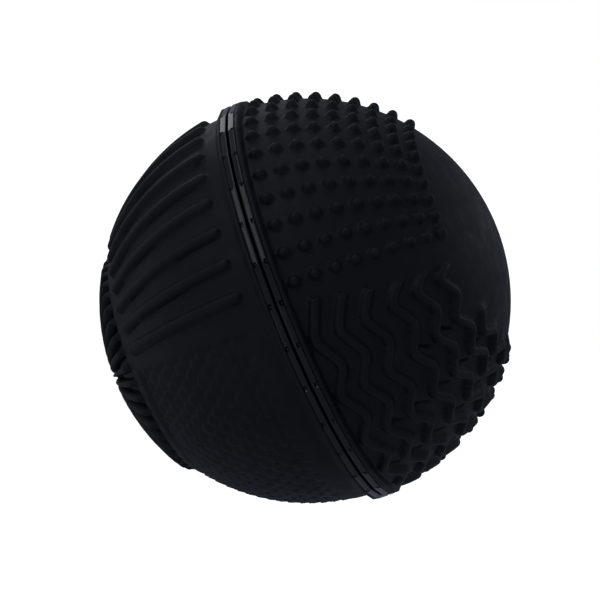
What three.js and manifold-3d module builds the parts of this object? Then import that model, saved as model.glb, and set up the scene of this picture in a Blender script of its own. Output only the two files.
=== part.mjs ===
// Case opening friction ball, in millimetres, +Z up, standing on the flat hub of its grip pad.
// Two rigid half shells, each in a rubber skin, plug together at the equator: a spigot ring with drive keys
// and a seal on the lower half enters a socket ring in the upper half, which lifts straight off.
// Heights are over the parting plane. On the ball, azimuth 0 is -X, 90 is -Y and 180 is +X; latitude is
// positive on the upper half and is taken about the ball's own centre, a little under the parting plane.
import * as THREE from "three";
import { mergeVertices } from "three/addons/utils/BufferGeometryUtils.js";
import Module from "manifold-3d";

const wasm = await Module();
wasm.setup();

// The ball
const BALL_R = 35; // smooth rubber surface
const BALL_DROP = 0.95; // the ball's centre under the parting plane
const RELIEF = 1.05; // how far nubs, waves, ribs and ridges stand proud
const LAP = 0.15; // clearance between a skin and the core it is moulded on
const CORE_R = 32; // outside of the rigid half shells
const CAVITY_R = 28; // inside of the rigid half shells
const ROUND = 32; // facets round a turned piece

// The parting line
const SEAM_HALF = 0.2; // half of the open gap between the two rims
const RIM_R = 36.35; // corners of the faceted rims
const RIM_FACETS = 32;
const RIM_FIRST_CORNER = -2; // azimuth, degrees
const UPPER_RIM = 1.0; // thickness of the rim
const LOWER_RIM = 1.2;
const PLATEAU = { radius: 36.2, top: 1.9, foot: 2.4 }; // raised band of the upper skin beside its rim
const SHOULDER = { radius: 36.2, top: 1.8, foot: 2.4 }; // and of the lower skin, below the plane

// The plug joint between the halves
const SEAT_R = 28.1; // bore in each core that its ring sits in
const SEAT_DEPTH = 8.3;
const LEDGE_R = 23.5; // inner edge of the ledge that takes the ring screws
const RING_R = 27.8;
const RING_FACE = 0.3; // distance of each ring's face from the parting plane
const RING_DEPTH = 8.0;
const SOCKET_R = 23.5; // bore of the socket ring
const SPIGOT = { inner: 20.8, outer: 23.2, top: 7.5 };
const GROOVE = { floor: 22.0, low: 4.2, high: 6.0 };
const SEAL = { radius: 22.65, section: 0.55 };
const KEY = { count: 4, inner: 23.0, outer: 24.8, width: 4, height: 2.8 };
const KEY_PLAY = 0.3;

// The ring screws
const SCREW = { count: 4, circle: 25.65, headR: 1.9, head: 1.2, shankR: 1.0, length: 11.4, tip: 0.8 };
const COUNTERBORE = { radius: 2.2, depth: 1.9 };
const SCREW_HOLE_R = 1.3;
const SCREW_HOLE_END = 14.4;
const SLOT = { width: 0.5, depth: 0.5 };

// The grip pad on the lower pole
const PAD_R = 20.1; // radius of the ridged field, square to the axis
const PAD_GAP = 0.2; // round the pad, in the skin's opening
const PAD_FLOOR_R = 34.8; // ball radius at the floor between ridges
const PAD_CREST_R = BALL_R + RELIEF;
const RIDGES = 45;
const RIDGE_SHARE = 0.55; // part of each pitch that is ridge
const HUB_R = 5; // flat hub that the ball stands on
const STEM = { radius: 4, holeR: 4.3, headR: 5.4, neck: 27.2, top: 25.2 };
const HUB_DEPTH = Math.sqrt(PAD_CREST_R ** 2 - HUB_R ** 2) + BALL_DROP; // hub face under the parting plane

// Textures of the skins: each fills a quarter turn and comes again on the far side
const REPEATS = [0, 180];
const NUB = { radius: 1.05, topRadius: 0.55, sides: 5, columns: 11, rows: 9 };
const NUB_PLACE = { firstAz: 3.2, stepAz: 8.08, firstLat: 7.85, stepLat: 5.53 };
const RIB = { count: 9, firstAz: 7.8, stepAz: 9.3, low: -49.5, high: -6.4, halfWidth: 1.0 };
const WAVE = { swing: 2.05, halfWidth: 0.8, firstTrough: 100.2, period: 16.36, rise: 0.55, lastAz: 178.5 };
const FAR_LAST_AZ = 162; // the far field stops short, clear of the first nubs
// Each wave's middle latitude and the azimuth where it starts
const WAVES = [
  [9, 89.2],
  [15.7, 91.2],
  [22.8, 92.8],
  [31, 94.5],
  [38.9, 95.4],
  [47, 96.4],
  [53.6, 118],
];

const DEG = Math.PI / 180;

const rubber = new THREE.MeshStandardMaterial({ color: 0x1b1d20, roughness: 0.65 });
const padRubber = new THREE.MeshStandardMaterial({ color: 0x16181a, roughness: 0.75 });
const gloss = new THREE.MeshStandardMaterial({ color: 0x121315, roughness: 0.15 });
const nylon = new THREE.MeshStandardMaterial({ color: 0x2a2c2f, roughness: 0.4 });
const sealRubber = new THREE.MeshStandardMaterial({ color: 0x0e0e0f, roughness: 0.5 });
const steel = new THREE.MeshStandardMaterial({ color: 0xb8bcc0, roughness: 0.3, metalness: 1 });

// A closed geometry as a manifold solid.
function solid(geometry) {
  const bare = geometry.clone();
  bare.deleteAttribute("normal");
  bare.deleteAttribute("uv");
  const merged = mergeVertices(bare, 1e-4);
  return new wasm.Manifold(
    new wasm.Mesh({
      numProp: 3,
      vertProperties: new Float32Array(merged.attributes.position.array),
      triVerts: new Uint32Array(merged.index.array),
    }),
  );
}

function joined(solids) {
  return solids.reduce((whole, next) => whole.add(next));
}

// A named mesh of a manifold solid.
function piece(name, shape, material) {
  const mesh = shape.getMesh();
  const geometry = new THREE.BufferGeometry();
  geometry.setAttribute("position", new THREE.BufferAttribute(new Float32Array(mesh.vertProperties), 3));
  geometry.setIndex(new THREE.BufferAttribute(new Uint32Array(mesh.triVerts), 1));
  geometry.computeVertexNormals();
  const made = new THREE.Mesh(geometry, material);
  made.name = name;
  return made;
}

// A profile of [radius, height] points turned about Z; it goes round its section anticlockwise.
function turned(profile, segments = ROUND) {
  const points = profile.map(([r, z]) => new THREE.Vector2(r, z));
  return solid(new THREE.LatheGeometry(points, segments).rotateX(90 * DEG));
}

// A closed section that doesn't touch the axis.
function turnedRing(profile, segments = ROUND) {
  return turned([...profile, profile[0]], segments);
}

// Points of a circle about the ball's centre, from one latitude to another.
function arc(radius, fromLat, toLat, steps) {
  const points = [];
  for (let i = 0; i <= steps; i++) {
    const lat = (fromLat + ((toLat - fromLat) * i) / steps) * DEG;
    points.push([radius * Math.cos(lat), radius * Math.sin(lat)]);
  }
  points.forEach((p) => (p[0] = Math.abs(p[0]) < 1e-9 ? 0 : p[0]));
  return points;
}

const latitudeAt = (radius, height) => Math.asin(height / radius) / DEG;
const latitudeOut = (radius, out) => Math.acos(out / radius) / DEG;
const flipped = (profile) => profile.map(([r, z]) => [r, -z]).reverse();

const lowered = (profile, drop) => profile.map(([r, z]) => [r, z - drop]);

// The direction from the ball's centre to a latitude and an azimuth.
function direction(lat, az) {
  const out = Math.cos(lat * DEG);
  return new THREE.Vector3(-out * Math.cos(az * DEG), -out * Math.sin(az * DEG), Math.sin(lat * DEG));
}

function onBall(lat, az, radius) {
  const point = direction(lat, az).multiplyScalar(radius);
  point.z -= BALL_DROP;
  return point;
}

function box(width, depth, height, x, y, z, turn = 0) {
  return solid(new THREE.BoxGeometry(width, depth, height).translate(x, y, z).rotateZ(turn));
}

function cylinder(radius, low, high, x, y, sides = 12) {
  const geometry = new THREE.CylinderGeometry(radius, radius, high - low, sides).rotateX(90 * DEG);
  return solid(geometry.translate(x, y, (low + high) / 2));
}

// A closed strip that follows stations on the ball: each has a latitude, an azimuth, a half width across the
// strip and a height over the ball. Its foot is sunk into the skin, and its sides lean in to a flat top.
function strip(stations, across) {
  const SINK = 0.6;
  const LEAN = 0.7;
  const positions = [];
  const rings = stations.map(({ lat, az, half, height }) => {
    const dLat = across === "lat" ? half / BALL_R / DEG : 0;
    const dAz = across === "az" ? half / (BALL_R * Math.cos(lat * DEG)) / DEG : 0;
    return [
      onBall(lat - dLat, az - dAz, BALL_R - SINK),
      onBall(lat + dLat, az + dAz, BALL_R - SINK),
      onBall(lat + dLat * LEAN, az + dAz * LEAN, BALL_R + height),
      onBall(lat - dLat * LEAN, az - dAz * LEAN, BALL_R + height),
    ];
  });
  rings.forEach((ring) => ring.forEach((p) => positions.push(p.x, p.y, p.z)));
  const sides = rings[0].length;
  const faces = [];
  for (let i = 0; i + 1 < rings.length; i++) {
    for (let j = 0; j < sides; j++) {
      const a = i * sides + j;
      const b = i * sides + ((j + 1) % sides);
      faces.push(a, b, a + sides, b, b + sides, a + sides);
    }
  }
  const last = (rings.length - 1) * sides;
  for (let j = 1; j + 1 < sides; j++) {
    faces.push(0, j + 1, j, last, last + j, last + j + 1);
  }
  const geometry = new THREE.BufferGeometry();
  geometry.setAttribute("position", new THREE.Float32BufferAttribute(positions, 3));
  geometry.setIndex(faces);
  const made = solid(geometry);
  if (made.volume() > 0) return made;
  return solid(geometry.setIndex(faces.toReversed()));
}

// One blunt nub, standing square to the ball.
function nub(lat, az) {
  const SINK = 0.4;
  const profile = [
    [0, -SINK],
    [NUB.radius, -SINK],
    [NUB.topRadius, RELIEF],
    [0, RELIEF],
  ].map(([r, z]) => new THREE.Vector2(r, z));
  const place = onBall(lat, az, BALL_R);
  const turn = new THREE.Quaternion().setFromUnitVectors(new THREE.Vector3(0, 1, 0), direction(lat, az));
  const geometry = new THREE.LatheGeometry(profile, NUB.sides).applyQuaternion(turn);
  return solid(geometry.translate(place.x, place.y, place.z));
}

function nubField(start) {
  const nubs = [];
  for (let i = 0; i < NUB.columns; i++) {
    for (let j = 0; j < NUB.rows; j++) {
      const lat = NUB_PLACE.firstLat + NUB_PLACE.stepLat * j;
      nubs.push(nub(lat, start + NUB_PLACE.firstAz + NUB_PLACE.stepAz * i));
    }
  }
  return nubs;
}

// Zigzag ribs that run round the ball, their bends in step.
function waveField(start) {
  const lastAz = start ? FAR_LAST_AZ : WAVE.lastAz;
  const bends = [];
  for (let az = WAVE.firstTrough; az < lastAz; az += WAVE.period) {
    bends.push([az, -1], [az + WAVE.rise * WAVE.period, 1]);
  }
  return WAVES.map(([middle, firstAz]) => {
    const inside = bends.filter(([az]) => az > firstAz + 2 && az < lastAz - 2);
    const stations = [[firstAz, -inside[0][1]], ...inside, [lastAz, 0]];
    const strips = stations.map(([az, side]) => {
      return { lat: middle + WAVE.swing * side, az: start + az, half: WAVE.halfWidth, height: RELIEF };
    });
    return strip(strips, "lat");
  });
}

// Straight ribs along the meridians, with sloping ends.
function ribField(start) {
  const ribs = [];
  const bend = 2; // degrees over which an end slopes up
  const middle = (RIB.low + RIB.high) / 2;
  const latitudes = [RIB.low, RIB.low + bend, middle, RIB.high - bend, RIB.high];
  for (let i = 0; i < RIB.count; i++) {
    const az = start + RIB.firstAz + RIB.stepAz * i;
    const stations = latitudes.map((lat, k) => {
      const end = k === 0 || k === latitudes.length - 1;
      return { lat, az, half: RIB.halfWidth * (end ? 0.6 : 1), height: end ? 0.1 : RELIEF };
    });
    ribs.push(strip(stations, "az"));
  }
  return ribs;
}

function upperSkin() {
  const foot = SEAM_HALF + UPPER_RIM + LAP;
  const inside = CORE_R + LAP;
  const body = turned([
    ...arc(inside, 90, latitudeAt(inside, foot), 9),
    [PLATEAU.radius, foot],
    [PLATEAU.radius, PLATEAU.top],
    ...lowered(arc(BALL_R, latitudeAt(BALL_R, PLATEAU.foot + BALL_DROP), 90, 11), BALL_DROP),
  ]);
  return joined([body, ...REPEATS.flatMap((turn) => [...nubField(turn), ...waveField(turn)])]);
}

function lowerSkin() {
  const foot = SEAM_HALF + LOWER_RIM + LAP;
  const inside = CORE_R + LAP;
  const opening = PAD_R + PAD_GAP;
  const start = latitudeAt(BALL_R, SHOULDER.foot - BALL_DROP);
  const body = turnedRing(
    flipped([
      ...arc(inside, latitudeOut(inside, opening), latitudeAt(inside, foot), 6),
      [SHOULDER.radius, foot],
      [SHOULDER.radius, SHOULDER.top],
      ...lowered(arc(BALL_R, start, latitudeOut(BALL_R, opening), 7), -BALL_DROP),
    ]),
  );
  return joined([body, ...REPEATS.flatMap(ribField)]);
}

// The faceted rim of a core.
function rim(low, high) {
  const inner = (SEAT_R + CORE_R) / 2;
  const profile = [
    [inner, low],
    [RIM_R, low],
    [RIM_R, high],
    [inner, high],
  ];
  return turnedRing(profile, RIM_FACETS).rotate([0, 0, RIM_FIRST_CORNER]);
}

const circlePlaces = (count, first) =>
  Array.from({ length: count }, (_, i) => (first + (360 / count) * i) * DEG);
const screwTurns = circlePlaces(SCREW.count, 45);
const keyTurns = circlePlaces(KEY.count, 0);

// Pilot holes for the ring screws, in the ledge of the upper core.
function pilotHoles() {
  return joined(
    screwTurns.map((turn) =>
      cylinder(
        SCREW_HOLE_R,
        SEAT_DEPTH - 1,
        SCREW_HOLE_END,
        SCREW.circle * Math.cos(turn),
        SCREW.circle * Math.sin(turn),
      ),
    ),
  );
}

function coreProfile(cavityStart, outsideEnd) {
  return [
    ...cavityStart,
    [LEDGE_R, SEAT_DEPTH],
    [SEAT_R, SEAT_DEPTH],
    [SEAT_R, SEAM_HALF],
    ...outsideEnd,
  ];
}

function upperCore() {
  const shell = turned(
    coreProfile(
      arc(CAVITY_R, 90, latitudeOut(CAVITY_R, LEDGE_R), 5),
      arc(CORE_R, latitudeAt(CORE_R, SEAM_HALF), 90, 9),
    ),
  );
  return shell.add(rim(SEAM_HALF, SEAM_HALF + UPPER_RIM)).subtract(pilotHoles());
}

function lowerCore() {
  const shell = turnedRing(
    flipped(
      coreProfile(
        arc(CAVITY_R, latitudeOut(CAVITY_R, STEM.holeR), latitudeOut(CAVITY_R, LEDGE_R), 5),
        arc(CORE_R, latitudeAt(CORE_R, SEAM_HALF), latitudeOut(CORE_R, STEM.holeR), 9),
      ),
    ),
  );
  return shell.add(rim(-SEAM_HALF - LOWER_RIM, -SEAM_HALF)).subtract(pilotHoles().rotate([180, 0, 0]));
}

// Counterbored screw holes through a ring whose face looks down, towards the parting plane.
function ringHoles() {
  return joined(
    screwTurns.flatMap((turn) => {
      const x = SCREW.circle * Math.cos(turn);
      const y = SCREW.circle * Math.sin(turn);
      return [
        cylinder(COUNTERBORE.radius, 0, RING_FACE + COUNTERBORE.depth, x, y),
        cylinder(SCREW_HOLE_R, 0, RING_DEPTH + 1, x, y),
      ];
    }),
  );
}

function keys(play) {
  const low = -1;
  const high = KEY.height + play;
  const inner = KEY.inner - play;
  const outer = KEY.outer + play;
  return joined(
    keyTurns.map((turn) =>
      box(outer - inner, KEY.width + 2 * play, high - low, (inner + outer) / 2, 0, (low + high) / 2, turn),
    ),
  );
}

function socketRing() {
  const body = turnedRing([
    [SOCKET_R, RING_FACE],
    [RING_R, RING_FACE],
    [RING_R, RING_DEPTH],
    [SOCKET_R, RING_DEPTH],
  ]);
  return body.subtract(ringHoles()).subtract(keys(KEY_PLAY));
}

function spigotRing() {
  const body = turnedRing([
    [SPIGOT.inner, -RING_DEPTH],
    [RING_R, -RING_DEPTH],
    [RING_R, -RING_FACE],
    [SPIGOT.outer, -RING_FACE],
    [SPIGOT.outer, GROOVE.low],
    [GROOVE.floor, GROOVE.low],
    [GROOVE.floor, GROOVE.high],
    [SPIGOT.outer, GROOVE.high],
    [SPIGOT.outer, SPIGOT.top],
    [SPIGOT.inner, SPIGOT.top],
  ]);
  return body.subtract(ringHoles().rotate([180, 0, 0])).add(keys(0));
}

function sealRing() {
  return solid(new THREE.TorusGeometry(SEAL.radius, SEAL.section, 6, ROUND)).translate([
    0,
    0,
    (GROOVE.low + GROOVE.high) / 2,
  ]);
}

// A slotted pan head screw in the place of the first hole, its head towards the parting plane.
function screw() {
  const foot = RING_FACE + COUNTERBORE.depth - SCREW.head - LAP;
  const neck = foot + SCREW.head;
  const end = neck + SCREW.length;
  const body = turned(
    [
      [0, foot],
      [SCREW.headR, foot],
      [SCREW.headR, neck],
      [SCREW.shankR, neck],
      [SCREW.shankR, end - SCREW.tip],
      [0, end],
    ],
    12,
  );
  return body.subtract(box(2 * SCREW.headR + 1, SLOT.width, 2 * SLOT.depth, 0, 0, foot));
}

function placedScrews(name, group, below) {
  const shape = screw();
  screwTurns.forEach((turn, i) => {
    const mesh = piece(`${name}_${i + 1}`, shape, steel);
    mesh.position.set(SCREW.circle * Math.cos(turn), SCREW.circle * Math.sin(turn), 0);
    mesh.rotation.x = below ? Math.PI : 0;
    group.add(mesh);
  });
}

// The ridged pad: radial ridges between a flat hub and a square outer edge, and a stem that snaps through
// the hole in the lower core's pole.
function gripPad() {
  const outline = new THREE.Shape();
  const pitch = (2 * Math.PI) / RIDGES;
  const half = (pitch * RIDGE_SHARE) / 2;
  for (let i = 0; i < RIDGES; i++) {
    const middle = pitch * (i + 0.5) - Math.PI / 2; // ridges lie between the facets' edges
    const corners = [
      [HUB_R, middle - half],
      [PAD_R, middle - half],
      [PAD_R, middle + half],
      [HUB_R, middle + half],
    ];
    corners.forEach(([r, angle], k) => {
      const point = [r * Math.cos(angle), r * Math.sin(angle)];
      if (i === 0 && k === 0) outline.moveTo(...point);
      else outline.lineTo(...point);
    });
  }
  outline.closePath();
  const star = solid(new THREE.ExtrudeGeometry(outline, { depth: BALL_R, bevelEnabled: false }));
  const back = CORE_R + 2 * LAP;
  const root = (back + PAD_FLOOR_R) / 2;
  const crestEnd = latitudeOut(PAD_CREST_R, HUB_R);
  const crest = turned(
    flipped([
      ...arc(root, 90, latitudeOut(root, PAD_R), 3),
      ...lowered(arc(PAD_CREST_R, latitudeOut(PAD_CREST_R, PAD_R), crestEnd, 3), -BALL_DROP),
      [0, HUB_DEPTH],
    ]),
    RIDGES,
  );
  const shell = turned(
    flipped([
      ...arc(back, 90, latitudeOut(back, PAD_R), 4),
      ...lowered(arc(PAD_FLOOR_R, latitudeOut(PAD_FLOOR_R, PAD_R), 90, 3), -BALL_DROP),
    ]),
    RIDGES,
  );
  const stem = turned(
    flipped([
      [0, STEM.top],
      [STEM.radius, STEM.top],
      [STEM.headR, STEM.neck - 0.6],
      [STEM.headR, STEM.neck],
      [STEM.radius, STEM.neck],
      [STEM.radius, back + 0.5],
      [0, back + 0.5],
    ]),
    16,
  );
  return star.translate([0, 0, -HUB_DEPTH - 1]).intersect(crest).add(shell).add(stem);
}

const upperHalf = new THREE.Group();
upperHalf.add(piece("upper_skin", upperSkin(), rubber));
upperHalf.add(piece("upper_core", upperCore(), gloss));
upperHalf.add(piece("socket_ring", socketRing(), nylon));
placedScrews("socket_screw", upperHalf, false);

const lowerHalf = new THREE.Group();
lowerHalf.add(piece("lower_skin", lowerSkin(), rubber));
lowerHalf.add(piece("lower_core", lowerCore(), gloss));
lowerHalf.add(piece("spigot_ring", spigotRing(), nylon));
lowerHalf.add(piece("seal_ring", sealRing(), sealRubber));
lowerHalf.add(piece("grip_pad", gripPad(), padRubber));
placedScrews("spigot_screw", lowerHalf, true);

const ball = new THREE.Group();
ball.position.z = HUB_DEPTH;
ball.add(upperHalf, lowerHalf);

const group = new THREE.Group();
group.add(ball);

export default group;
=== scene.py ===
"""Case opening friction ball: the fine surfaces, materials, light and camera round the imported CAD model.

Lengths are in metres, angles in degrees and heights over the parting plane. On the ball, azimuth 0 is -X,
90 is -Y and 180 is +X; latitude is positive on the upper half and is taken about the ball's own centre, a
little under the parting plane. Fields of texture fill a quarter turn and come again on the far side.
"""
import math

import bmesh
import bpy
import numpy as np
from mathutils import Matrix, Vector

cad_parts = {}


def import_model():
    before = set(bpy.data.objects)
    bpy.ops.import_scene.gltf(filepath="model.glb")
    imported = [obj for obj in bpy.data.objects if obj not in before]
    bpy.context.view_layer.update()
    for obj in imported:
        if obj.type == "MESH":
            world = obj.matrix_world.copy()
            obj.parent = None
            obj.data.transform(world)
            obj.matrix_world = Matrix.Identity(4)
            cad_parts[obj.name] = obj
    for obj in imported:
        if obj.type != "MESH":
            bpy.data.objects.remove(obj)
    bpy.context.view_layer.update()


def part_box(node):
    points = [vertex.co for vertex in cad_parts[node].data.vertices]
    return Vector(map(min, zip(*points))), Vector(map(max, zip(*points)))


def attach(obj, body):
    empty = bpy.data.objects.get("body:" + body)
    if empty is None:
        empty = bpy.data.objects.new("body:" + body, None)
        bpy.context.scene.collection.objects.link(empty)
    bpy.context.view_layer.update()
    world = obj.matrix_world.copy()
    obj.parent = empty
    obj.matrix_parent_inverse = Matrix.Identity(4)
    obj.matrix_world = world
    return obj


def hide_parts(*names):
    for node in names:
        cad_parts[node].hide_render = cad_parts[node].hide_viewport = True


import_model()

MM = 0.001
DEG = math.pi / 180

# ---------------------------------------------------------------- sizes from the frame
UPPER_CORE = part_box("upper_core")
LOWER_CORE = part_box("lower_core")
SEAM_Z = (UPPER_CORE[0].z + LOWER_CORE[1].z) / 2  # the parting plane
DROP = 0.95 * MM  # the ball's centre under the parting plane
SEAM = UPPER_CORE[0].z - SEAM_Z  # half of the open gap
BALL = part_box("upper_skin")[1].z - SEAM_Z + DROP  # smooth rubber surface
CORE = UPPER_CORE[1].z - SEAM_Z  # outside of the rigid shells
HUB = SEAM_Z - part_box("grip_pad")[0].z  # flat hub of the pad
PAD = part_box("grip_pad")[1].x  # radius of the ridged field
RIM = UPPER_CORE[1].x  # corners of the faceted rims
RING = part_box("socket_ring")[1].x
RING_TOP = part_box("socket_ring")[1].z - SEAM_Z
RING_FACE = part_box("socket_ring")[0].z - SEAM_Z
SPIGOT_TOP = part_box("spigot_ring")[1].z - SEAM_Z
SEAL_LOW, SEAL_HIGH = (corner.z - SEAM_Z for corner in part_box("seal_ring"))
SEAL_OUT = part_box("seal_ring")[1].x
STEM_TOP = SEAM_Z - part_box("grip_pad")[1].z

# ---------------------------------------------------------------- shapes inside those sizes
RELIEF = 0.03 * BALL
STEP = 0.5  # degrees between rows and between columns of a skin
UPPER_RIM = 1.0 * MM
LOWER_RIM = 1.0 * MM
CLOSE = 0.05 * MM  # between a skin and the rim beside it
BAND = 36.3 * MM  # corners of the raised bands beside the rims
CAVITY = 28 * MM
SEAT = 28.1 * MM
SEAT_DEPTH = 8.3 * MM
LEDGE = 23.5 * MM
SOCKET = 23.5 * MM
SPIGOT_IN, SPIGOT_OUT = 20.8 * MM, 23.2 * MM
GROOVE_FLOOR, GROOVE_LOW, GROOVE_HIGH = 22.0 * MM, 4.2 * MM, 6.0 * MM
KEY_IN, KEY_OUT, KEY_WIDTH, KEY_TOP = 23.0 * MM, 24.8 * MM, 4.0 * MM, 2.8 * MM
KEY_PLAY = 0.3 * MM
SCREW_CIRCLE = 25.65 * MM
HEAD_BORE, HEAD_DEPTH, SHANK_BORE = 2.2 * MM, 1.9 * MM, 1.3 * MM
STEM, STEM_HOLE, STEM_HEAD, STEM_NECK = 4.0 * MM, 4.3 * MM, 5.4 * MM, 27.2 * MM
RIM_FACETS = 32
RIM_FIRST_CORNER = -2

NUB = {"radius": 0.030 * BALL, "height": 0.034 * BALL, "columns": 11, "rows": 9}
NUB_PLACE = {"first_az": 3.2, "step_az": 8.08, "first_lat": 7.85, "step_lat": 5.53}
RIB = {"first_az": 7.8, "step_az": 9.3, "count": 9, "low": -49.8, "high": -6.2}
RIB_SIZE = {"half": 0.031 * BALL, "height": 0.029 * BALL}
WAVE = {"swing": 2.1, "half": 0.0235 * BALL, "period": 16.36, "rise": 0.55}
WAVE_TROUGH, WAVE_END = 100.2, 178.4  # azimuths of the first trough and of the end of every wave
WAVES = [(9, 89.0), (15.7, 91.0), (22.8, 92.5), (31, 94.2), (38.9, 95.2), (47, 96.2), (53.6, 119)]
FAR_END = 335  # azimuth where the second field stops on the far side, clear of the nubs
BEND_REACH = 1.9  # degrees either way over which a bend is rounded
BEND_GAIN = 1.06  # gives back the swing that the rounding takes
LAST_FADE = 16  # the last wave rises out of the ball over so many degrees
SLOT = {"half": 0.0075 * BALL, "depth": 0.015 * BALL, "under": 1.9}
SCALE = {"row": 2.95, "first_tip": -10.9, "rows": 14, "step_az": 5.33, "first_az": 95.65}
SCALE_DEPTH = 0.016 * BALL
SCALES_IN_ROW = 16
RIDGES = 45
RIDGE_HALF = 2.4  # degrees of azimuth
PAD_FLOOR = 0.982 * BALL  # floor of the grooves between the ridges
# The hub's rings: share of its radius, and how deep the ends of the grooves run into it, in millimetres
HUB_RINGS = [(1.01, 0.5), (0.96, 0.3), (0.85, 0.25), (0.7, 0.2), (0.6, 0.1), (0.5, 0.0), (0.3, 0.0)]
# Slopes from the raised bands to the ball: millimetres inside the facets, and from the parting plane
UPPER_SLOPE = [(0, 1.75), (0.1, 1.9), (0.45, 2.03), (1.0, 2.22)]
LOWER_SLOPE = [(0, 1.68), (0.08, 1.82), (0.4, 2.02), (0.9, 2.26)]
# and where they meet the ball: millimetres from the axis, and from the parting plane
UPPER_FOOT = [(34.93, 2.34), (34.85, 2.50)]
LOWER_FOOT = [(35.10, 2.42), (35.0, 2.55)]


# ---------------------------------------------------------------- mesh helpers
def mesh_object(name, points, faces, sharp=35):
    """A smooth shaded mesh object whose edges over `sharp` degrees stay crisp, its faces turned outwards."""
    mesh = bpy.data.meshes.new(name)
    mesh.from_pydata([tuple(p) for p in points], [], [tuple(f) for f in faces])
    build = bmesh.new()
    build.from_mesh(mesh)
    if build.calc_volume(signed=True) < 0:
        bmesh.ops.reverse_faces(build, faces=build.faces[:])
    build.to_mesh(mesh)
    build.free()
    mesh.shade_smooth()
    mesh.set_sharp_from_angle(angle=sharp * DEG)
    mesh.update()
    thing = bpy.data.objects.new(name, mesh)
    bpy.context.scene.collection.objects.link(thing)
    return thing


def grid_faces(rows, columns, loop):
    """Quads between rows of a grid that is closed along its columns, and along its rows too if loop."""
    r = np.arange(rows if loop else rows - 1)[:, None]
    c = np.arange(columns)[None, :]
    r2, c2 = (r + 1) % rows, (c + 1) % columns
    quads = np.stack([r * columns + c, r * columns + c2, r2 * columns + c2, r2 * columns + c], axis=-1)
    return quads.reshape(-1, 4).tolist()


def wrapped(name, out, height, azimuths, loop, sharp=35):
    """A body from arrays of distance from the axis and height over the parting plane, one row per ring.
    Where it isn't a loop, its first and last rings each close on a point of the axis."""
    rows, columns = out.shape
    az = azimuths[None, :] * DEG
    points = np.stack([-out * np.cos(az), -out * np.sin(az), height + SEAM_Z], axis=-1).reshape(-1, 3)
    faces = grid_faces(rows, columns, loop)
    if not loop:
        ends = [(0, height[0].mean()), (rows - 1, height[-1].mean())]
        for row, top in ends:
            points = np.vstack([points, [[0, 0, top + SEAM_Z]]])
            tip = len(points) - 1
            ring = [row * columns + c for c in range(columns)]
            turn = 1 if row == 0 else -1
            for c in range(columns):
                faces.append([tip, ring[(c + 1) % columns], ring[c]][::turn])
    return mesh_object(name, points, faces, sharp)


def section_rows(section, azimuths):
    """Rings for a plain turned section of (distance, height) points."""
    section = np.array(section)
    ones = np.ones(len(azimuths))
    return section[:, :1] * ones, section[:, 1:] * ones


def columns(count, start=0.0):
    return start + np.arange(count) * 360.0 / count


def smooth(low, high, x):
    t = np.clip((x - low) / (high - low), 0, 1)
    return t * t * (3 - 2 * t)


def arc(radius, from_lat, to_lat, steps):
    lat = np.linspace(from_lat, to_lat, steps + 1) * DEG
    return list(zip(radius * np.cos(lat), radius * np.sin(lat)))


def turned(name, section, count=160, sharp=35):
    """A closed ring turned from a section that doesn't touch the axis."""
    azimuths = columns(count)
    out, height = section_rows(section, azimuths)
    return wrapped(name, out, height, azimuths, loop=True, sharp=sharp)


def lowered(section, drop):
    return [(r, z - drop) for r, z in section]


def latitude_at(radius, height):
    return math.degrees(math.asin(height / radius))


def latitude_out(radius, out):
    return math.degrees(math.acos(out / radius))


def facets(az):
    """Distance from the axis of the faceted outline, as a share of its corners'."""
    half = 180 / RIM_FACETS
    from_middle = np.mod(az - RIM_FIRST_CORNER, 2 * half) - half
    return math.cos(half * DEG) / np.cos(from_middle * DEG)


# ---------------------------------------------------------------- relief of the skins
def nubs(lat, az):
    """Round nubs in straight columns along the meridians."""
    place = NUB_PLACE
    near_az = np.clip(np.round((az - place["first_az"]) / place["step_az"]), 0, NUB["columns"] - 1)
    near_lat = np.clip(np.round((lat - place["first_lat"]) / place["step_lat"]), 0, NUB["rows"] - 1)
    d_az = (az - place["first_az"] - near_az * place["step_az"]) * np.cos(lat * DEG)
    d_lat = lat - place["first_lat"] - near_lat * place["step_lat"]
    t = np.hypot(d_az, d_lat) * DEG * BALL / NUB["radius"]
    return NUB["height"] * np.clip(1 - t ** 2.1, 0, 1) ** 0.62


def wave_bends():
    """Azimuths of the bends that all waves share, with the side that each swings to."""
    bends = []
    az = WAVE_TROUGH
    while az < WAVE_END:
        bends += [(az, -1), (az + WAVE["rise"] * WAVE["period"], 1)]
        az += WAVE["period"]
    return bends


def wave_line(az, first_az):
    """The zigzag of one wave, from -1 to 1, its bends rounded over a few degrees."""
    bends = [bend for bend in wave_bends() if bend[0] > first_az + 2]
    bends = [(first_az - 0.6, -1.25 * bends[0][1])] + bends
    places, sides = zip(*bends)
    reach = np.linspace(-BEND_REACH, BEND_REACH, 9)
    return BEND_GAIN * sum(np.interp(az + d, places, sides) for d in reach) / len(reach)


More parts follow.
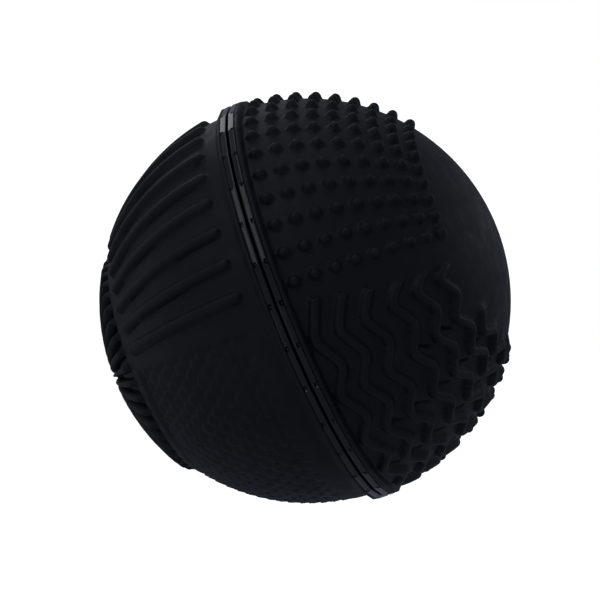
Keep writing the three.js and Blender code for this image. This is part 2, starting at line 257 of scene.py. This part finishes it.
def waves(lat, az):
    """Zigzag ribs with round ends, steep towards the rim and gentle towards the pole, with slots between."""
    height = np.zeros_like(lat)
    for middle, first_az in WAVES:
        line = WAVE["swing"] * wave_line(az, first_az)
        slope = np.gradient(line[0], az[0])[None, :]
        lean = 1 / np.sqrt(1 + (slope / np.cos(lat * DEG)) ** 2)
        across = (lat - middle - line) * DEG * BALL * lean
        gentle = across > 0
        across = np.abs(across) / np.where(gentle, 1.3, 1.0)
        beyond = np.maximum(first_az - az, az - WAVE_END) * DEG * BALL * np.cos(lat * DEG) + WAVE["half"]
        t = np.hypot(across, np.clip(beyond, 0, None)) / WAVE["half"]
        rib = RELIEF * np.clip(1 - t ** np.where(gentle, 2.0, 3.4), 0, 1) ** np.where(gentle, 0.85, 0.5)
        if first_az == WAVES[-1][1]:
            rib *= smooth(first_az - 1, first_az + LAST_FADE, az)
        height = np.maximum(height, rib)
    return np.where(height > 0.2 * RELIEF, height, height - slots(lat, az))


def slots(lat, az):
    """Depth of the short slits in the grooves beside the troughs; the lower grooves miss the first ones."""
    depth = np.zeros_like(lat)
    troughs = [bend[0] for bend in wave_bends() if bend[1] < 0]
    for groove in range(len(WAVES) - 1):
        low, high = WAVES[groove][0], WAVES[groove + 1][0]
        for turn, trough in enumerate(troughs):
            if groove + 1 + 2 * turn < 6 or trough < WAVES[groove + 1][1] + 1:
                continue
            d_lat = lat - (low + high) / 2 + SLOT["under"]
            d_az = (az - trough - 0.8) * np.cos(lat * DEG)
            along = d_lat * 0.8 + d_az * 0.6
            across = d_az * 0.8 - d_lat * 0.6
            beyond = np.clip(np.abs(along) - (high - low) / 2 + 2.0, 0, None)
            t = np.hypot(across, beyond) * DEG * BALL / SLOT["half"]
            depth = np.maximum(depth, SLOT["depth"] * np.clip(1 - t ** 2.6, 0, 1) ** 0.6)
    return depth


def ribs(lat, az):
    """Straight round-topped ribs along the meridians, with round ends."""
    number = np.clip(np.round((az - RIB["first_az"]) / RIB["step_az"]), 0, RIB["count"] - 1)
    across = (az - RIB["first_az"] - number * RIB["step_az"]) * np.cos(lat * DEG) * DEG * BALL
    half = RIB_SIZE["half"]
    beyond = np.maximum(RIB["low"] - lat, lat - RIB["high"]) * DEG * BALL + half
    t = np.hypot(across, np.clip(beyond, 0, None)) / half
    return RIB_SIZE["height"] * np.clip(1 - t ** 2.4, 0, 1) ** 0.62


def scales(lat, az):
    """Overlapping scales like a fish's, sunk so that their round free ends, towards the pole, are flush."""
    lift = np.zeros_like(lat)
    half = 0.52 * SCALE["step_az"]
    for row in range(SCALE["rows"]):
        tip = SCALE["first_tip"] - SCALE["row"] * row
        first_az = SCALE["first_az"] - 0.5 * SCALE["step_az"] * (row % 2)
        number = np.clip(np.round((az - first_az) / SCALE["step_az"]), 0, SCALES_IN_ROW - 1)
        side = (az - first_az - number * SCALE["step_az"]) / half
        round_end = (1 - np.sqrt(np.clip(1 - side ** 2, 0, 1))) * SCALE["row"]
        along = lat - tip
        inside = smooth(0.0, 0.42, along - round_end) * smooth(1.02, 0.94, np.abs(side))
        lift = np.maximum(lift, np.clip(1 - along / (2.3 * SCALE["row"]), 0, 1) * inside)
    last_tip = SCALE["first_tip"] - SCALE["row"] * (SCALE["rows"] - 1)
    field = smooth(-6.0, -11.0, lat) * smooth(90.5, 93.5, az) * smooth(180, 177, az)
    field *= smooth(last_tip - 3, last_tip, lat)
    return SCALE_DEPTH * field * (lift - 1)


def two_fields(first, second, lat, az):
    """The first field over azimuth 0 to 90, the second over 90 to 180, and both again on the far side."""
    quarter = np.mod(az, 180)
    second_share = smooth(FAR_END, FAR_END - 3, az)
    return np.where(quarter < 90, first(lat, quarter), second_share * second(lat, quarter))


def skin_grid(latitudes, azimuths, first, second):
    lat, az = np.meshgrid(latitudes, azimuths, indexing="ij")
    radius = BALL + two_fields(first, second, lat, az)
    return radius * np.cos(lat * DEG), radius * np.sin(lat * DEG) - DROP


def band_rows(section, az):
    """Rings of a raised band, faceted like its rim: each point is (distance inside the facets, height)."""
    outs = [BAND * facets(az) - inset for inset, _ in section]
    heights = [np.full(len(az), height) for _, height in section]
    return np.array(outs), np.array(heights)


def in_mm(section, side):
    """A section of millimetres in metres, on the upper side (1) or the lower side (-1)."""
    return [(r * MM, side * z * MM) for r, z in section]


def band(foot, slope, side):
    """The section of a raised band: a small rounding beside the rim, the wall and the slope to the ball."""
    start = [(0.6 * MM, foot), (0.12 * MM, foot + 0.03 * MM), (0, foot + 0.14 * MM)]
    return [(inset, side * height) for inset, height in start] + in_mm(slope, side)


# ---------------------------------------------------------------- skins
def upper_skin():
    foot = SEAM + UPPER_RIM + CLOSE
    az = columns(round(360 / STEP))
    texture = np.arange(6.35, 57.01, STEP)
    cap = arc(BALL, 60, 88, 10) + arc(BALL, 89.2, 89.2, 0)
    inside = arc(CORE + CLOSE, 89, latitude_at(CORE + CLOSE, foot) + 4, 8) + [(CORE + CLOSE, foot)]
    parts = [section_rows(inside, az), band_rows(band(foot, UPPER_SLOPE, 1), az)]
    parts += [section_rows(in_mm(UPPER_FOOT, 1), az), skin_grid(texture, az, nubs, waves)]
    parts.append(section_rows(lowered(cap, DROP), az))
    out = np.vstack([p[0] for p in parts])
    height = np.vstack([p[1] for p in parts])
    return wrapped("upper_rubber_skin", out, height, az, loop=False, sharp=60)


def lower_skin():
    foot = SEAM + LOWER_RIM + CLOSE
    opening = PAD + 0.2 * MM
    az = columns(round(360 / STEP))
    end = -latitude_out(BALL, opening)
    texture = np.append(np.arange(-3.2, end + 0.3, -STEP), end)
    inner_end = -latitude_out(CORE + CLOSE, opening)
    inside = arc(CORE + CLOSE, inner_end, -latitude_at(CORE + CLOSE, foot) - 4, 6) + [(CORE + CLOSE, -foot)]
    parts = [section_rows(inside, az), band_rows(band(foot, LOWER_SLOPE, -1), az)]
    parts += [section_rows(in_mm(LOWER_FOOT, -1), az), skin_grid(texture, az, ribs, scales)]
    out = np.vstack([p[0] for p in parts])
    height = np.vstack([p[1] for p in parts])
    return wrapped("lower_rubber_skin", out, height, az, loop=True, sharp=60)


# ---------------------------------------------------------------- ridged pad
def grip_pad():
    """Radial ridges with square outer ends, a flat hub, and a stem with a barbed head behind."""
    pitch = 360 / RIDGES
    offsets = np.array([-4.0, -2.5, -2.2, -1.8, -1.2, -0.6, 0.0, 0.6, 1.2, 1.8, 2.2, 2.5])
    az = (np.arange(RIDGES)[:, None] * pitch + offsets[None, :]).reshape(-1)
    across = np.tile(offsets, RIDGES)
    profile = np.clip(1 - (np.abs(across) / RIDGE_HALF) ** 2.4, 0, 1) ** 0.7
    crest = BALL + RELIEF
    hub_edge = math.sqrt(crest ** 2 - (HUB - DROP) ** 2)
    last = latitude_out(crest, PAD)
    edge_lats = [last, last, last + 0.35, last + 1.0, last + 2.0]
    lats = np.concatenate([edge_lats, np.linspace(last + 4, 80.2, 13)])
    grow = np.concatenate([[0.0, 0.86, 0.97, 1.0, 1.0], np.ones(13)])
    rows_out, rows_height = [], []
    for number, lat in enumerate(lats):
        radius = PAD_FLOOR + (crest - PAD_FLOOR) * profile * grow[number]
        level = radius * math.sin(lat * DEG) + DROP
        out = radius * math.cos(lat * DEG)
        if number < 2:
            out = np.full_like(out, PAD)
            level = np.sqrt(radius ** 2 - PAD ** 2) + DROP
        rows_out.append(out)
        rows_height.append(-level)
    for share, fall in HUB_RINGS:
        rows_out.append(np.full(len(az), share * hub_edge))
        rows_height.append(-HUB + fall * MM * (1 - profile))
    back = CORE + 4 * CLOSE
    behind = [(0.4 * STEM, STEM_TOP), (STEM, STEM_TOP + 0.1 * MM)]
    behind += [(STEM_HEAD - 0.3 * MM, STEM_NECK - 0.9 * MM), (STEM_HEAD, STEM_NECK - 0.5 * MM)]
    behind += [(STEM_HEAD, STEM_NECK), (STEM, STEM_NECK), (STEM, back - 0.3 * MM), (STEM + 0.4 * MM, back)]
    lat_from = latitude_out(back, STEM + 1.2 * MM)
    behind += [(r, z) for r, z in arc(back, lat_from, latitude_out(back, PAD), 6)]
    back_out, back_height = section_rows([(r, -z) for r, z in behind], az)
    out = np.vstack([back_out, np.array(rows_out)])
    height = np.vstack([back_height, np.array(rows_height)])
    return wrapped("ridged_grip_pad", out, height, az, loop=False, sharp=50)


# ---------------------------------------------------------------- rigid cores with faceted rims
def rim_rows(section, az):
    """Rings of a faceted rim: each point is (distance inside the facets, height, share of the nick)."""
    half = 180 / RIM_FACETS
    from_corner = half - np.abs(np.mod(az - RIM_FIRST_CORNER, 2 * half) - half)
    nick = 0.42 * MM * smooth(0.75, 0.2, from_corner)
    outs = [RIM * facets(az) - inset - share * nick for inset, _, share in section]
    heights = [np.full(len(az), height) for _, height, _ in section]
    return np.array(outs), np.array(heights)


def rim_columns():
    half = 180 / RIM_FACETS
    offsets = np.array([0, 0.2, 0.45, 0.75, 1.3, 3.2, half, 2 * half - 3.2, 2 * half - 1.3, 2 * half - 0.75,
                        2 * half - 0.45, 2 * half - 0.2])
    return (RIM_FIRST_CORNER + np.arange(RIM_FACETS)[:, None] * 2 * half + offsets[None, :]).reshape(-1)


def core(name, side, thick, pole_hole):
    """A half shell: the cavity, the ledge and seat for its ring, and the rim that shows at the seam."""
    az = rim_columns()
    out_lat = latitude_out(CAVITY, LEDGE)
    start = latitude_out(CAVITY, pole_hole) if pole_hole else 89.4
    soft = 0.12 * MM
    inside = arc(CAVITY, start, out_lat, 14)
    inside += [(LEDGE, SEAT_DEPTH + soft), (LEDGE + soft, SEAT_DEPTH), (SEAT - soft, SEAT_DEPTH)]
    inside += [(SEAT, SEAT_DEPTH - soft)]
    inside += [(SEAT, SEAM + 3 * soft), (SEAT + 2 * soft, SEAM), (CORE, SEAM)]
    far = SEAM + thick
    rim = [(1.2 * MM, SEAM, 0), (0.16 * MM, SEAM, 0), (0.05 * MM, SEAM + 0.05 * MM, 0)]
    rim += [(0, SEAM + 0.16 * MM, 0), (0, SEAM + 0.45 * thick, 0), (0, SEAM + 0.62 * thick, 1)]
    rim += [(0, far - 0.1 * MM, 1), (0.05 * MM, far, 1), (1.2 * MM, far, 0)]
    finish = latitude_out(CORE, pole_hole) if pole_hole else 89.4
    outside = arc(CORE, latitude_at(CORE, far), finish, 16)
    parts = [section_rows(inside, az), rim_rows(rim, az), section_rows(outside, az)]
    out = np.vstack([p[0] for p in parts])
    height = side * np.vstack([p[1] for p in parts])
    return wrapped(name, out, height, az, loop=bool(pole_hole), sharp=30)


# ---------------------------------------------------------------- rings, seal and screws
def drum(name, radius, low, high, x, y, count=40):
    """A plain cutter."""
    angles = np.arange(count) * 2 * math.pi / count
    ring = [(x + radius * math.cos(a), y + radius * math.sin(a)) for a in angles]
    points = [(px, py, SEAM_Z + z) for z in (low, high) for px, py in ring]
    faces = [list(range(count))[::-1], list(range(count, 2 * count))]
    faces += [[i, (i + 1) % count, count + (i + 1) % count, count + i] for i in range(count)]
    return mesh_object(name, points, faces)


def block(name, low, high, angle, rounding=0.0):
    """A block between two corners, turned about the ball's axis."""
    points = [(x, y, z + SEAM_Z) for z in (low[2], high[2]) for x, y in
              [(low[0], low[1]), (high[0], low[1]), (high[0], high[1]), (low[0], high[1])]]
    faces = [[3, 2, 1, 0], [4, 5, 6, 7], [0, 1, 5, 4], [1, 2, 6, 5], [2, 3, 7, 6], [3, 0, 4, 7]]
    thing = mesh_object(name, points, faces)
    if rounding:
        bevel = thing.modifiers.new("round", "BEVEL")
        bevel.width, bevel.segments = rounding, 3
        bake(thing)
    thing.data.transform(Matrix.Rotation(angle, 4, "Z"))
    return thing


def bake(thing):
    """Turns the modifiers of a piece into its mesh."""
    bpy.context.view_layer.update()
    done = bpy.data.meshes.new_from_object(thing.evaluated_get(bpy.context.evaluated_depsgraph_get()))
    thing.modifiers.clear()
    thing.data = done


def combine(thing, tools, operation):
    """Cuts the tools out of a piece, or joins them to it."""
    for tool in tools:
        change = thing.modifiers.new("cut", "BOOLEAN")
        change.operation, change.object, change.solver = operation, tool, "EXACT"
        bake(thing)
        bpy.data.objects.remove(tool)
    return thing


def finish_ring(thing):
    """A small rounding on the edges that the cuts left."""
    bevel = thing.modifiers.new("round", "BEVEL")
    bevel.width, bevel.segments, bevel.limit_method, bevel.angle_limit = 0.1 * MM, 2, "ANGLE", 50 * DEG
    bake(thing)
    thing.data.shade_smooth()
    thing.data.set_sharp_from_angle(angle=35 * DEG)
    return thing


SCREW_TURNS = [(45 + 90 * i) * DEG for i in range(4)]
KEY_TURNS = [90 * i * DEG for i in range(4)]


def screw_bores(side):
    """Cutters for the counterbored holes of one ring."""
    tools = []
    for i, turn in enumerate(SCREW_TURNS):
        x, y = SCREW_CIRCLE * math.cos(turn), SCREW_CIRCLE * math.sin(turn)
        ends = sorted([0.0, side * (RING_FACE + HEAD_DEPTH)])
        tools.append(drum(f"head_bore_{i}", HEAD_BORE, *ends, x, y))
        ends = sorted([0.0, side * (RING_TOP + 1 * MM)])
        tools.append(drum(f"shank_bore_{i}", SHANK_BORE, *ends, x, y))
    return tools


def key_blocks(play, rounding):
    low = (KEY_IN - play, -KEY_WIDTH / 2 - play, -1 * MM)
    high = (KEY_OUT + play, KEY_WIDTH / 2 + play, KEY_TOP + play)
    return [block(f"key_{i}", low, high, turn, rounding) for i, turn in enumerate(KEY_TURNS)]


def socket_ring():
    section = [(SOCKET, RING_FACE), (RING, RING_FACE), (RING, RING_TOP), (SOCKET, RING_TOP)]
    ring = turned("socket_ring_body", section)
    combine(ring, screw_bores(1) + key_blocks(KEY_PLAY, 0), "DIFFERENCE")
    return finish_ring(ring)


def spigot_ring():
    section = [(SPIGOT_IN, -RING_TOP), (RING, -RING_TOP), (RING, -RING_FACE), (SPIGOT_OUT, -RING_FACE),
               (SPIGOT_OUT, GROOVE_LOW), (GROOVE_FLOOR, GROOVE_LOW), (GROOVE_FLOOR, GROOVE_HIGH),
               (SPIGOT_OUT, GROOVE_HIGH), (SPIGOT_OUT, SPIGOT_TOP), (SPIGOT_IN, SPIGOT_TOP)]
    ring = turned("spigot_ring_body", section)
    combine(ring, screw_bores(-1), "DIFFERENCE")
    combine(ring, key_blocks(0, 0.2 * MM), "UNION")
    return finish_ring(ring)


def seal_ring():
    section_r = (SEAL_HIGH - SEAL_LOW) / 2
    middle = (SEAL_HIGH + SEAL_LOW) / 2
    turns = np.arange(16) * 2 * math.pi / 16
    centre = SEAL_OUT - section_r
    section = [(centre + section_r * math.cos(t), middle + section_r * math.sin(t)) for t in turns]
    return turned("seal_o_ring", section, sharp=80)


def screw(name, node, side):
    """A pan head screw with a slot, threaded below its neck."""
    low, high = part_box(node)
    middle = (low + high) / 2
    head_z = (low.z if side > 0 else high.z) - SEAM_Z
    end_z = (high.z if side > 0 else low.z) - SEAM_Z
    head_r, shank_r, head = (high.x - low.x) / 2, 1.0 * MM, 1.2 * MM
    core_r, thread = 0.78 * shank_r, 0.8 * MM
    section = [(0.5 * head_r, 0), (0.86 * head_r, 0.03 * head), (0.97 * head_r, 0.2 * head)]
    section += [(head_r, 0.45 * head), (head_r, 0.95 * head), (0.97 * head_r, head), (shank_r, head)]
    length = abs(end_z - head_z)
    z = head + 1.0 * MM
    section += [(shank_r, z)]
    while z < length - 1.4 * MM:
        section += [(core_r, z + 0.2 * thread), (core_r, z + 0.5 * thread), (shank_r, z + 0.8 * thread),
                    (shank_r, z + 0.95 * thread)]
        z += thread
    section += [(core_r, z + 0.2 * thread), (0.25 * shank_r, length)]
    az = columns(32)
    out, height = section_rows([(r, side * z + head_z) for r, z in section], az)
    made = wrapped(name, out, height, az, loop=False, sharp=40)
    slot_low = (-1.2 * head_r, -0.25 * MM, head_z - 0.5 * MM)
    slot_high = (1.2 * head_r, 0.25 * MM, head_z + 0.5 * MM)
    slot = block("slot", slot_low, slot_high, 0.6)
    combine(made, [slot], "DIFFERENCE")
    made.data.transform(Matrix.Translation((middle.x, middle.y, 0)))
    made.data.shade_smooth()
    made.data.set_sharp_from_angle(angle=35 * DEG)
    return made


# ---------------------------------------------------------------- materials
def material(name, colour, roughness, metallic=0.0):
    """A Principled material, and a function that adds nodes to it."""
    made = bpy.data.materials.new(name)
    made.use_nodes = True
    tree = made.node_tree
    shader = tree.nodes["Principled BSDF"]
    shader.inputs["Base Color"].default_value = (*colour, 1)
    shader.inputs["Roughness"].default_value = roughness
    shader.inputs["Metallic"].default_value = metallic
    return made, tree, shader


def noise(tree, scale, detail=3.0, rough=0.5):
    """Noise over the object's own coordinates; scale is in bumps per metre."""
    place = tree.nodes.new("ShaderNodeTexCoord")
    field = tree.nodes.new("ShaderNodeTexNoise")
    field.inputs["Scale"].default_value = scale
    field.inputs["Detail"].default_value = detail
    field.inputs["Roughness"].default_value = rough
    tree.links.new(place.outputs["Object"], field.inputs["Vector"])
    return field.outputs["Fac"]


def spread(tree, value, low, high):
    """Maps a noise value, mostly between 0.3 and 0.7, to a range."""
    remap = tree.nodes.new("ShaderNodeMapRange")
    remap.inputs["From Min"].default_value = 0.3
    remap.inputs["From Max"].default_value = 0.7
    remap.inputs["To Min"].default_value = low
    remap.inputs["To Max"].default_value = high
    tree.links.new(value, remap.inputs["Value"])
    return remap.outputs["Result"]


def tint(tree, value, dark, light):
    """A colour between two, by a noise value."""
    ramp = tree.nodes.new("ShaderNodeValToRGB")
    ramp.color_ramp.elements[0].position, ramp.color_ramp.elements[0].color = 0.3, (*dark, 1)
    ramp.color_ramp.elements[1].position, ramp.color_ramp.elements[1].color = 0.7, (*light, 1)
    tree.links.new(value, ramp.inputs["Fac"])
    return ramp.outputs["Color"]


def bump(tree, shader, value, distance, strength=1.0):
    made = tree.nodes.new("ShaderNodeBump")
    made.inputs["Distance"].default_value = distance
    made.inputs["Strength"].default_value = strength
    tree.links.new(value, made.inputs["Height"])
    tree.links.new(made.outputs["Normal"], shader.inputs["Normal"])


def rubber(name, dark, light, rough_low, rough_high):
    """Matt moulded rubber: a slightly uneven bloom, fine grain and a soft sheen."""
    made, tree, shader = material(name, light, rough_high)
    bloom = noise(tree, 55, 4, 0.6)
    tree.links.new(tint(tree, bloom, dark, light), shader.inputs["Base Color"])
    tree.links.new(spread(tree, noise(tree, 420, 4, 0.6), rough_low, rough_high), shader.inputs["Roughness"])
    shader.inputs["Specular IOR Level"].default_value = 0.28
    bump(tree, shader, noise(tree, 4200, 2, 0.5), 0.02 * MM, 0.55)
    return made


def gloss_plastic():
    """Polished black plastic with faint moulding swirls."""
    made, tree, shader = material("rim_gloss_plastic", (0.006, 0.0062, 0.007), 0.16)
    tree.links.new(spread(tree, noise(tree, 260, 3, 0.5), 0.10, 0.22), shader.inputs["Roughness"])
    tree.links.new(tint(tree, noise(tree, 90, 3, 0.5), (0.0045, 0.0047, 0.0052), (0.008, 0.0084, 0.0095)),
                   shader.inputs["Base Color"])
    bump(tree, shader, noise(tree, 900, 2, 0.5), 0.01 * MM, 0.3)
    return made


def nylon():
    """Satin glass-filled nylon of the two rings."""
    made, tree, shader = material("ring_nylon", (0.022, 0.023, 0.026), 0.42)
    tree.links.new(tint(tree, noise(tree, 700, 4, 0.7), (0.017, 0.018, 0.020), (0.030, 0.031, 0.034)),
                   shader.inputs["Base Color"])
    tree.links.new(spread(tree, noise(tree, 1500, 3, 0.6), 0.34, 0.52), shader.inputs["Roughness"])
    bump(tree, shader, noise(tree, 5200, 2, 0.5), 0.012 * MM, 0.5)
    return made


def seal_rubber():
    made, tree, shader = material("seal_rubber", (0.005, 0.005, 0.0055), 0.36)
    tree.links.new(tint(tree, noise(tree, 300, 3, 0.5), (0.004, 0.004, 0.0045), (0.008, 0.008, 0.009)),
                   shader.inputs["Base Color"])
    tree.links.new(spread(tree, noise(tree, 900, 3, 0.5), 0.28, 0.44), shader.inputs["Roughness"])
    return made


def zinc_steel():
    """Zinc plated steel with a faint bluish cast and fine wear."""
    made, tree, shader = material("zinc_steel", (0.52, 0.54, 0.57), 0.3, 1.0)
    tree.links.new(tint(tree, noise(tree, 1400, 4, 0.6), (0.42, 0.44, 0.47), (0.58, 0.60, 0.63)),
                   shader.inputs["Base Color"])
    tree.links.new(spread(tree, noise(tree, 2600, 4, 0.6), 0.22, 0.40), shader.inputs["Roughness"])
    bump(tree, shader, noise(tree, 6000, 2, 0.5), 0.006 * MM, 0.5)
    return made


# ---------------------------------------------------------------- the pieces
def place(piece, look, body, node, slot):
    """Gives a piece its material, its body and a material slot for it, and hides the CAD node that it stands
    for; the slot argument is not used.
    """
    piece.data.materials.clear()
    piece.data.materials.append(look)
    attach(piece, body)
    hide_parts(node)


SKIN_LOOK = rubber("skin_rubber", (0.0062, 0.0068, 0.0088), (0.0086, 0.0094, 0.0122), 0.50, 0.64)
PAD_LOOK = rubber("pad_rubber", (0.0056, 0.0061, 0.0074), (0.0080, 0.0088, 0.0106), 0.54, 0.68)
GLOSS_LOOK = gloss_plastic()
NYLON_LOOK = nylon()
STEEL_LOOK = zinc_steel()

place(upper_skin(), SKIN_LOOK, "upper_half", "upper_skin", "skin_rubber")
place(lower_skin(), SKIN_LOOK, "lower_half", "lower_skin", "skin_rubber")
place(grip_pad(), PAD_LOOK, "lower_half", "grip_pad", "pad_rubber")
upper_shell = core("upper_rigid_core", 1, UPPER_RIM, 0)
lower_shell = core("lower_rigid_core", -1, LOWER_RIM, STEM_HOLE)
place(upper_shell, GLOSS_LOOK, "upper_half", "upper_core", "core_plastic")
place(lower_shell, GLOSS_LOOK, "lower_half", "lower_core", "core_plastic")
place(socket_ring(), NYLON_LOOK, "upper_half", "socket_ring", "ring_nylon")
place(spigot_ring(), NYLON_LOOK, "lower_half", "spigot_ring", "ring_nylon")
place(seal_ring(), seal_rubber(), "lower_half", "seal_ring", "seal_rubber")
for number in range(1, 5):
    upper_node, lower_node = f"socket_screw_{number}", f"spigot_screw_{number}"
    place(screw(upper_node + "_steel", upper_node, 1), STEEL_LOOK, "upper_half", upper_node, "screw_steel")
    place(screw(lower_node + "_steel", lower_node, -1), STEEL_LOOK, "lower_half", lower_node, "screw_steel")


# ---------------------------------------------------------------- stage, light and camera
def floor():
    """A pale glowing table top, which lights nothing but itself."""
    bpy.ops.mesh.primitive_plane_add(size=4)
    top = bpy.context.object
    top.name = "pale_floor"
    look, tree, shader = material("pale_floor", (0.9, 0.9, 0.9), 0.8)
    shader.inputs["Emission Color"].default_value = (1, 1, 1, 1)
    shader.inputs["Emission Strength"].default_value = 1.0
    top.data.materials.append(look)
    top.visible_diffuse = False
    top.visible_glossy = False
    top.visible_shadow = False


def world():
    """White behind the object for the camera, and a dim cool room for the light."""
    made = bpy.data.worlds.new("studio")
    bpy.context.scene.world = made
    made.use_nodes = True
    tree = made.node_tree
    tree.nodes.clear()
    out = tree.nodes.new("ShaderNodeOutputWorld")
    choose = tree.nodes.new("ShaderNodeMixShader")
    ray = tree.nodes.new("ShaderNodeLightPath")
    room = tree.nodes.new("ShaderNodeBackground")
    white = tree.nodes.new("ShaderNodeBackground")
    room.inputs["Color"].default_value = (0.78, 0.86, 1.10, 1)
    room.inputs["Strength"].default_value = 0.20
    white.inputs["Color"].default_value = (1, 1, 1, 1)
    white.inputs["Strength"].default_value = 1.0
    tree.links.new(ray.outputs["Is Camera Ray"], choose.inputs["Fac"])
    tree.links.new(room.outputs["Background"], choose.inputs[1])
    tree.links.new(white.outputs["Background"], choose.inputs[2])
    tree.links.new(choose.outputs["Shader"], out.inputs["Surface"])


TILT = 9.32 * DEG  # the camera's height over the parting plane
ROLL = 21.62 * DEG  # the ball's axis over the camera's horizontal
CENTRE = Vector((0, 0, SEAM_Z - DROP))
CAMERA_RADII = 10  # the camera's distance in radii of the ball
RIGHT = Vector((math.sin(ROLL), math.sin(TILT) * math.cos(ROLL), math.cos(TILT) * math.cos(ROLL)))
UP = Vector((-math.cos(ROLL), math.sin(TILT) * math.sin(ROLL), math.cos(TILT) * math.sin(ROLL)))
BACK = RIGHT.cross(UP)


def camera():
    eye = bpy.data.objects.new("camera", bpy.data.cameras.new("camera"))
    bpy.context.scene.collection.objects.link(eye)
    distance = CAMERA_RADII * BALL
    turn = Matrix((RIGHT, UP, BACK)).transposed().to_4x4()
    eye.matrix_world = Matrix.Translation(CENTRE + BACK * distance) @ turn
    eye.data.sensor_width = 36
    eye.data.lens = 121.1
    eye.data.shift_x = -0.0136
    eye.data.shift_y = 0.0019
    eye.data.clip_start = 0.01
    bpy.context.scene.camera = eye


# Each light's place (right, up and towards the camera from the ball), width, height and power
SOFTBOXES = {
    "key_softbox": ((-0.48, 0.55, 0.51), 0.48, 0.48, 0.50),
    "back_softbox": ((-0.28, 0.58, -0.63), 0.4, 0.4, 0.42),
    "top_softbox": ((-0.1, 0.9, 0.1), 0.8, 0.5, 0.45),
    "right_strip": ((0.8, 0.35, -0.5), 0.2, 0.6, 0.22),
    "left_strip": ((-0.8, 0.0, -0.2), 0.4, 0.9, 0.28),
    "low_left_softbox": ((-0.6, -0.35, 0.6), 0.6, 0.6, 0.14),
}


def softbox(name, spot, width, height, power):
    """A white area light that faces the ball."""
    data = bpy.data.lights.new(name, "AREA")
    data.shape = "RECTANGLE"
    data.size, data.size_y = width, height
    data.energy = power
    lamp = bpy.data.objects.new(name, data)
    bpy.context.scene.collection.objects.link(lamp)
    lamp.location = CENTRE + RIGHT * spot[0] + UP * spot[1] + BACK * spot[2]
    lamp.rotation_mode = "QUATERNION"
    lamp.rotation_quaternion = (CENTRE - lamp.location).to_track_quat("-Z", "Y")
    lamp.visible_camera = False


floor()
world()
camera()
for light, settings in SOFTBOXES.items():
    softbox(light, *settings)
bpy.context.scene.view_settings.view_transform = "Standard"
